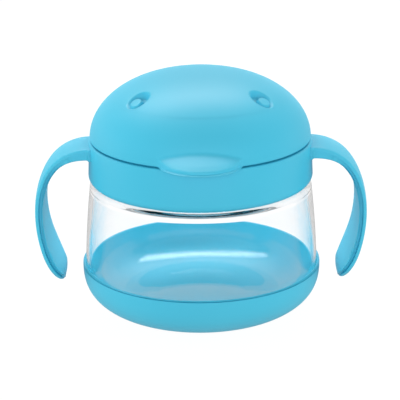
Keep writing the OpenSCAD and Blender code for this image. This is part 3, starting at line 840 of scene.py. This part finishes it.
def makeFlap(k):
    slope = math.tan(math.pi / membrane["count"])
    tip = membrane["slit"] / 2 / math.sin(math.pi / membrane["count"])
    root, wide, blunt = membrane["root"], rootHalf(), membrane["blunt"]
    corners = [(tip + blunt, -blunt * slope), (tip + wide / slope, -wide), (root, -wide), (root, wide),
               (tip + wide / slope, wide), (tip + blunt, blunt * slope)]
    bm = bmesh.new()
    plate(bm, [(x, y, membrane["webLow"]) for x, y in corners], (0, 0, membrane["webThick"]))
    rims = [e for e in bm.edges if level(e, 2) and not all(abs(v.co.x - root) < 1e-6 for v in e.verts)]
    bmesh.ops.bevel(bm, geom=rims, offset=membrane["edge"], affect="EDGES", segments=3, profile=0.5, material=-1)
    flap = newPiece("softFlap%d" % (k + 1), bm)
    combine(flap, [bar("root", membrane["webThick"] / 2, 2 * wide, "Y", (root, 0, webMiddle()))], "UNION")
    flap.data.transform(Matrix.Rotation(2 * math.pi * k / membrane["count"], 4, "Z"))
    return flap


settle(makeMembrane(), "membrane", "membrane_ring", whiteSilicone)
for k in range(membrane["count"]):
    node = "flap_%d" % (k + 1)
    settle(makeFlap(k), node, node, whiteSilicone)
print("membrane made")


# lid seal and hinge pin

seal = {"outer": 47.87, "width": 2.57, "low": 82.9, "thick": 1.6}


def makeSeal():
    inside, outside = seal["outer"] - seal["width"], seal["outer"]
    low, high = seal["low"], seal["low"] + seal["thick"]
    corners = [(inside, low, 0.3), (outside, low, 0.2), (outside, high, 0.3), (inside, high, 0.5)]
    bm = bmesh.new()
    spinOutline(bm, rounded(corners, 3), True, ((360, 192),))
    return newPiece("lidSeal", bm)


def makePin():
    low, high = nodeBox("hinge_pin")
    return bar("hingePin", hinge["pin"], high.x - low.x, "X", (0, hinge["y"], hinge["z"]), 48, hinge["pinEdge"])


settle(makeSeal(), "lid", "lid_seal", whiteSilicone)
settle(makePin(), "collar", "hinge_pin", pinSteel)
print("seal and pin made")


# floor, light and camera

studio = {
    "distance": 750, "elevation": 18.878, "roll": -0.56, "lens": 149.02,
    "target": (-0.371, 0, 50.22),
    "floorRadius": 3000,
    "world": 0.4, "worldMirrored": 0.8,           # strength as light, and in reflections
    "table": "#303030", "tableSeen": 0.97, "tableLight": 0.6, "tableMirrored": 0.55,
    "twice": 0.9,                                 # for rays mirrored more than once
    "frontMirrored": 0.15, "frontFrom": -160, "frontTo": -20,  # the table's front is dim in reflections
}

lamps = {  # place, aim, size and power; the last says whether the lamp shows in reflections
    "topLight": ((-60, 265, 590), (0, 0, 80), (640, 150), 2.3, True),
    "frontLight": ((0, -800, 215), (0, 0, 40), (900, 400), 4.3, False),
    "leftLight": ((-700, 60, 140), (0, -20, 20), (500, 260), 2.6, False),
    "rightLight": ((700, 60, 140), (0, -20, 20), (500, 260), 2.2, False),
    "backLight": ((0, 620, 155), (0, -20, 20), (700, 190), 4, False),
    "insideLight": ((0, 0, 56), (0, 0, 0), (50, 50), 0.016, False),
}


def chooseBy(tree, flag, off, on):  # off where the flag is 0, on where it is 1
    node = addNode(tree, "ShaderNodeMapRange", links={"Value": flag})
    for name, value in (("To Min", off), ("To Max", on)):
        if isinstance(value, (int, float)):
            node.inputs[name].default_value = value
        else:
            tree.links.new(value, node.inputs[name])
    return node.outputs["Result"]


def afterBounce(tree, depth, times=1):  # 1 for rays that have bounced so many times
    more = addNode(tree, "ShaderNodeMath", {"operation": "GREATER_THAN", 1: times - 0.5}, {0: depth})
    return more.outputs["Value"]


def makeTable():
    # a light table: an opal sheet that glows an even white
    bm = bmesh.new()
    bmesh.ops.create_circle(bm, cap_ends=True, segments=64, radius=studio["floorRadius"])
    floor = newPiece("studioFloor", bm)
    opal, tree, shader = startMaterial("opalTable")
    rays = addNode(tree, "ShaderNodeLightPath").outputs
    place = addNode(tree, "ShaderNodeTexCoord").outputs["Object"]
    axes = addNode(tree, "ShaderNodeSeparateXYZ", links={0: place})
    mirrored = addNode(tree, "ShaderNodeMapRange", {
        "interpolation_type": "SMOOTHSTEP",
        "From Min": studio["frontFrom"] * mm, "From Max": studio["frontTo"] * mm,
        "To Min": studio["frontMirrored"], "To Max": studio["tableMirrored"]}, {"Value": axes.outputs["Y"]})
    glow = chooseBy(tree, afterBounce(tree, rays["Diffuse Depth"]), studio["tableSeen"], studio["tableLight"])
    glow = chooseBy(tree, afterBounce(tree, rays["Glossy Depth"]), glow, mirrored.outputs["Result"])
    glow = chooseBy(tree, afterBounce(tree, rays["Glossy Depth"], 2), glow, studio["twice"])
    tree.links.new(glow, shader.inputs["Emission Strength"])
    shader.inputs["Emission Color"].default_value = linear("#FFFFFF")
    shader.inputs["Base Color"].default_value = linear(studio["table"])
    shader.inputs["Roughness"].default_value = 0.9
    floor.data.materials.append(opal)


def makeWorld():
    world = bpy.data.worlds.new("studioWorld")
    bpy.context.scene.world = world
    world.use_nodes = True
    tree = world.node_tree
    rays = addNode(tree, "ShaderNodeLightPath").outputs
    strength = chooseBy(tree, afterBounce(tree, rays["Glossy Depth"]), studio["world"], studio["worldMirrored"])
    strength = chooseBy(tree, afterBounce(tree, rays["Glossy Depth"], 2), strength, studio["twice"])
    tree.links.new(strength, tree.nodes["Background"].inputs["Strength"])
    tree.nodes["Background"].inputs["Color"].default_value = linear("#FFFFFF")
    bpy.context.scene.view_settings.view_transform = "Standard"


def softBox(name, place, aim, size, power, mirrored):
    light = bpy.data.lights.new(name, "AREA")
    light.shape = "RECTANGLE"
    light.size, light.size_y = size[0] * mm, size[1] * mm
    light.energy = power
    lamp = bpy.data.objects.new(name, light)
    bpy.context.scene.collection.objects.link(lamp)
    lamp.location = Vector(place) * mm
    lamp.rotation_euler = (Vector(aim) - Vector(place)).to_track_quat("-Z", "Y").to_euler()
    lamp.visible_glossy = lamp.visible_transmission = mirrored


def makeCamera():
    e, roll = math.radians(studio["elevation"]), math.radians(studio["roll"])
    target = Vector(studio["target"])
    right, up = Vector((1, 0, 0)), Vector((0, math.sin(e), math.cos(e)))
    back = Vector((0, -math.cos(e), math.sin(e)))  # from the target to the camera
    c, s = math.cos(roll), math.sin(roll)
    right, up = right * c + up * s, up * c - right * s
    data = bpy.data.cameras.new("mainCamera")
    data.lens = studio["lens"]
    data.sensor_width = 36
    data.clip_start, data.clip_end = 0.01, 50  # metres
    camera = bpy.data.objects.new("mainCamera", data)
    bpy.context.scene.collection.objects.link(camera)
    place = (target + back * studio["distance"]) * mm
    camera.matrix_world = Matrix.Translation(place) @ Matrix((right, up, back)).transposed().to_4x4()
    bpy.context.scene.camera = camera


makeTable()
makeWorld()
for name, lamp in lamps.items():
    softBox(name, *lamp)
makeCamera()
print("studio made")
